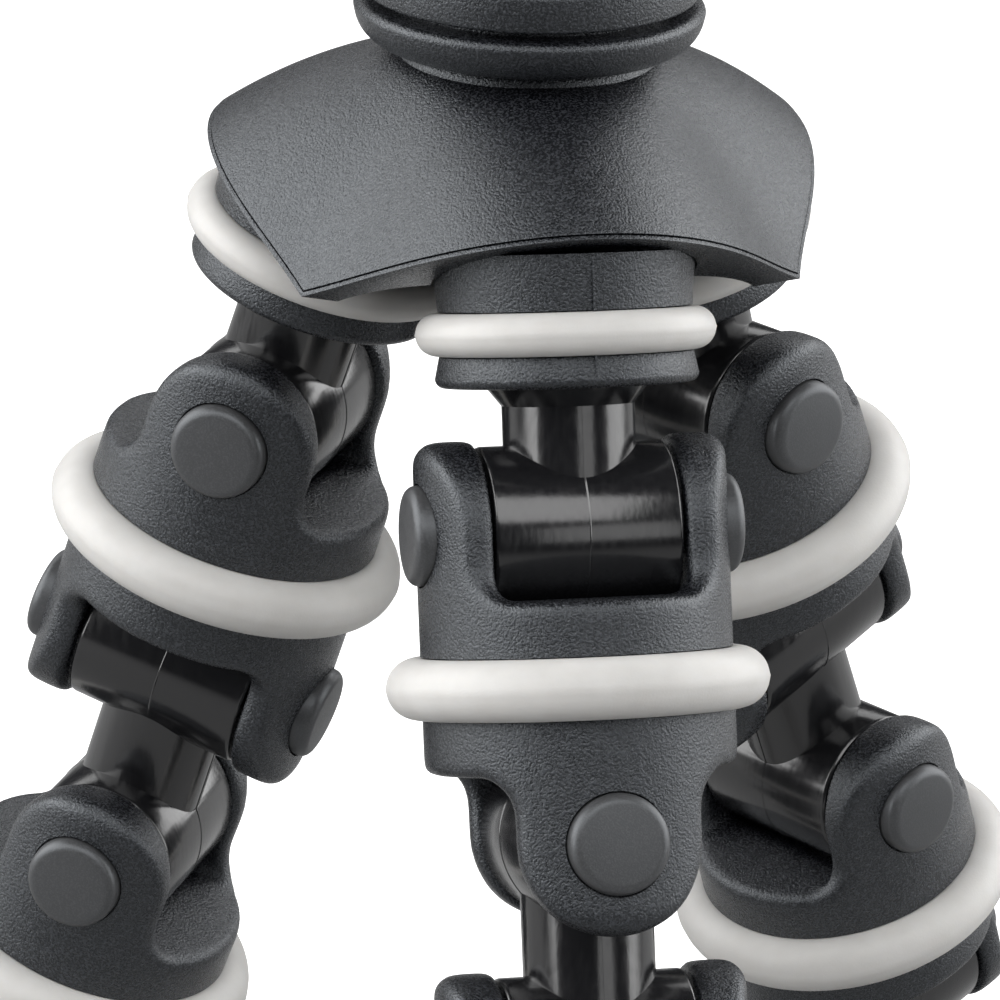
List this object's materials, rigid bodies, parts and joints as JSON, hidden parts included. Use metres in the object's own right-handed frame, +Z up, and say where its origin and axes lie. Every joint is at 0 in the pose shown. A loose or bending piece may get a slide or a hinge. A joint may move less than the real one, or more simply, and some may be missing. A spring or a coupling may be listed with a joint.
{
  "type": "flexible leg tripod",
  "caption": "Small camera tripod with a twist-lock ball head on a bell-shaped hub and jointed legs of clevis knuckles, crossed pins, links and soft grip rings.",
  "frame": {"origin": "middle of the camera seat on top of the platform pad, where the camera screw leaves it", "axes": "+Z up along the camera screw, -Y along the front leg, +X to the right"},
  "size_m": [0.1404, 0.1301, 0.2157],
  "materials": {
    "charcoal_plastic": "satin charcoal plastic with a fine spark-eroded grain",
    "gloss_black_plastic": "glossy black moulded plastic",
    "ring_silicone": "off-white satin silicone rubber",
    "pin_plastic": "fine matt dark grey",
    "screw_steel": "bright plated steel",
    "seat_plastic": "natural slippery plastic",
    "pad_rubber": "black ribbed rubber"
  },
  "bodies": {
    "hub": {"hub_cover": "charcoal_plastic", "hub_base": "charcoal_plastic", "hub_screws": "screw_steel", "leg_sockets": "charcoal_plastic", "root_rings": "ring_silicone", "root_stems": "gloss_black_plastic", "head_base": "charcoal_plastic", "head_bolt": "screw_steel"},
    "ball_seat": {"ball_seat": "seat_plastic"},
    "lock_ring": {"lock_ring": "charcoal_plastic"},
    "ball_stud": {"ball_stud": "screw_steel", "platform": "charcoal_plastic", "platform_pad": "pad_rubber", "camera_screw": "screw_steel"},
    "front_knuckle_1": {"front_knuckle_1": "charcoal_plastic", "front_ring_1": "ring_silicone", "front_pins_1": "pin_plastic"},
    "front_link_1": {"front_link_1": "gloss_black_plastic"},
    "front_knuckle_2": {"front_knuckle_2": "charcoal_plastic", "front_ring_2": "ring_silicone", "front_pins_2": "pin_plastic"},
    "front_link_2": {"front_link_2": "gloss_black_plastic"},
    "front_knuckle_3": {"front_knuckle_3": "charcoal_plastic", "front_ring_3": "ring_silicone", "front_pins_3": "pin_plastic"},
    "front_link_3": {"front_link_3": "gloss_black_plastic"},
    "front_foot": {"front_foot": "charcoal_plastic", "front_foot_pin": "pin_plastic", "front_foot_tip": "ring_silicone"},
    "left_knuckle_1": {"left_knuckle_1": "charcoal_plastic", "left_ring_1": "ring_silicone", "left_pins_1": "pin_plastic"},
    "left_link_1": {"left_link_1": "gloss_black_plastic"},
    "left_knuckle_2": {"left_knuckle_2": "charcoal_plastic", "left_ring_2": "ring_silicone", "left_pins_2": "pin_plastic"},
    "left_link_2": {"left_link_2": "gloss_black_plastic"},
    "left_knuckle_3": {"left_knuckle_3": "charcoal_plastic", "left_ring_3": "ring_silicone", "left_pins_3": "pin_plastic"},
    "left_link_3": {"left_link_3": "gloss_black_plastic"},
    "left_foot": {"left_foot": "charcoal_plastic", "left_foot_pin": "pin_plastic", "left_foot_tip": "ring_silicone"},
    "right_knuckle_1": {"right_knuckle_1": "charcoal_plastic", "right_ring_1": "ring_silicone", "right_pins_1": "pin_plastic"},
    "right_link_1": {"right_link_1": "gloss_black_plastic"},
    "right_knuckle_2": {"right_knuckle_2": "charcoal_plastic", "right_ring_2": "ring_silicone", "right_pins_2": "pin_plastic"},
    "right_link_2": {"right_link_2": "gloss_black_plastic"},
    "right_knuckle_3": {"right_knuckle_3": "charcoal_plastic", "right_ring_3": "ring_silicone", "right_pins_3": "pin_plastic"},
    "right_link_3": {"right_link_3": "gloss_black_plastic"},
    "right_foot": {"right_foot": "charcoal_plastic", "right_foot_pin": "pin_plastic", "right_foot_tip": "ring_silicone"}
  },
  "joints": [
    {"name": "lock_ring_twist", "type": "hinge", "parent": "hub", "child": "lock_ring", "pos_m": [0, 0, -0.0255], "axis": [0, 0, 1], "range_deg": [0, 60]},
    {"name": "ball_pan", "type": "hinge", "parent": "hub", "child": "ball_seat", "pos_m": [0, 0, -0.02], "axis": [0, 0, 1], "continuous": true},
    {"name": "ball_tilt", "type": "hinge", "parent": "ball_seat", "child": "ball_stud", "pos_m": [0, 0, -0.02], "axis": [1, 0, 0], "range_deg": [-28, 28]},
    {"name": "front_bend_1", "type": "hinge", "parent": "hub", "child": "front_knuckle_1", "pos_m": [0, -0.02072, -0.06601], "axis": [1, 0, 0], "range_deg": [-52.7, 27.3]},
    {"name": "front_swing_1", "type": "hinge", "parent": "front_knuckle_1", "child": "front_link_1", "pos_m": [0, -0.02857, -0.08806], "axis": [0, 0.9421, -0.3355], "range_deg": [-55, 55]},
    {"name": "front_bend_2", "type": "hinge", "parent": "front_link_1", "child": "front_knuckle_2", "pos_m": [0, -0.03434, -0.10426], "axis": [-1, 0, 0], "range_deg": [-55, 55]},
    {"name": "front_swing_2", "type": "hinge", "parent": "front_knuckle_2", "child": "front_link_2", "pos_m": [0, -0.04219, -0.1263], "axis": [0, -0.9421, 0.3355], "range_deg": [-55, 55]},
    {"name": "front_bend_3", "type": "hinge", "parent": "front_link_2", "child": "front_knuckle_3", "pos_m": [0, -0.04796, -0.14251], "axis": [1, 0, 0], "range_deg": [-55, 55]},
    {"name": "front_swing_3", "type": "hinge", "parent": "front_knuckle_3", "child": "front_link_3", "pos_m": [0, -0.05581, -0.16455], "axis": [0, 0.9421, -0.3355], "range_deg": [-55, 55]},
    {"name": "front_bend_4", "type": "hinge", "parent": "front_link_3", "child": "front_foot", "pos_m": [0, -0.06158, -0.18075], "axis": [-1, 0, 0], "range_deg": [-55, 55]},
    {"name": "left_bend_1", "type": "hinge", "parent": "hub", "child": "left_knuckle_1", "pos_m": [-0.01794, 0.01036, -0.06601], "axis": [-0.5, -0.866, 0], "range_deg": [-55.2, 24.8]},
    {"name": "left_swing_1", "type": "hinge", "parent": "left_knuckle_1", "child": "left_link_1", "pos_m": [-0.0239, 0.0138, -0.08838], "axis": [0.8277, -0.4779, -0.294], "range_deg": [-56.8, 53.2]},
    {"name": "left_bend_2", "type": "hinge", "parent": "left_link_1", "child": "left_knuckle_2", "pos_m": [-0.02801, 0.0168, -0.10481], "axis": [0.5078, 0.861, 0.03], "range_deg": [-58.2, 51.8]},
    {"name": "left_swing_2", "type": "hinge", "parent": "left_knuckle_2", "child": "left_link_2", "pos_m": [-0.03467, 0.02149, -0.12674], "axis": [-0.8131, 0.4674, 0.3469], "range_deg": [-55, 55]},
    {"name": "left_bend_3", "type": "hinge", "parent": "left_link_2", "child": "left_knuckle_3", "pos_m": [-0.03957, 0.02494, -0.14287], "axis": [-0.5078, -0.861, -0.03], "range_deg": [-54.7, 55.3]},
    {"name": "left_swing_3", "type": "hinge", "parent": "left_knuckle_3", "child": "left_link_3", "pos_m": [-0.04633, 0.02969, -0.16476], "axis": [0.8116, -0.4664, -0.3518], "range_deg": [-55, 55]},
    {"name": "left_bend_4", "type": "hinge", "parent": "left_link_3", "child": "left_foot", "pos_m": [-0.0513, 0.03318, -0.18085], "axis": [0.5078, 0.861, 0.03], "range_deg": [-55, 55]},
    {"name": "right_bend_1", "type": "hinge", "parent": "hub", "child": "right_knuckle_1", "pos_m": [0.01794, 0.01036, -0.06601], "axis": [-0.5, 0.866, 0], "range_deg": [-49.2, 30.8]},
    {"name": "right_swing_1", "type": "hinge", "parent": "right_knuckle_1", "child": "right_link_1", "pos_m": [0.02589, 0.01495, -0.08754], "axis": [-0.7966, -0.4599, -0.3923], "range_deg": [-55, 55]},
    {"name": "right_bend_2", "type": "hinge", "parent": "right_link_1", "child": "right_knuckle_2", "pos_m": [0.03174, 0.01832, -0.10336], "axis": [0.5, -0.866, 0], "range_deg": [-51.4, 58.6]},
    {"name": "right_swing_2", "type": "hinge", "parent": "right_knuckle_2", "child": "right_link_2", "pos_m": [0.0385, 0.02223, -0.12541], "axis": [0.8164, 0.4713, 0.3338], "range_deg": [-55, 55]},
    {"name": "right_bend_3", "type": "hinge", "parent": "right_link_2", "child": "right_knuckle_3", "pos_m": [0.04348, 0.0251, -0.14163], "axis": [-0.5, 0.866, 0], "range_deg": [-57.7, 52.3]},
    {"name": "right_swing_3", "type": "hinge", "parent": "right_knuckle_3", "child": "right_link_3", "pos_m": [0.04933, 0.02848, -0.16403], "axis": [-0.8291, -0.4787, -0.289], "range_deg": [-55, 55]},
    {"name": "right_bend_4", "type": "hinge", "parent": "right_link_3", "child": "right_foot", "pos_m": [0.05364, 0.03097, -0.1805], "axis": [0.5, -0.866, 0], "range_deg": [-55, 55]}
  ]
}
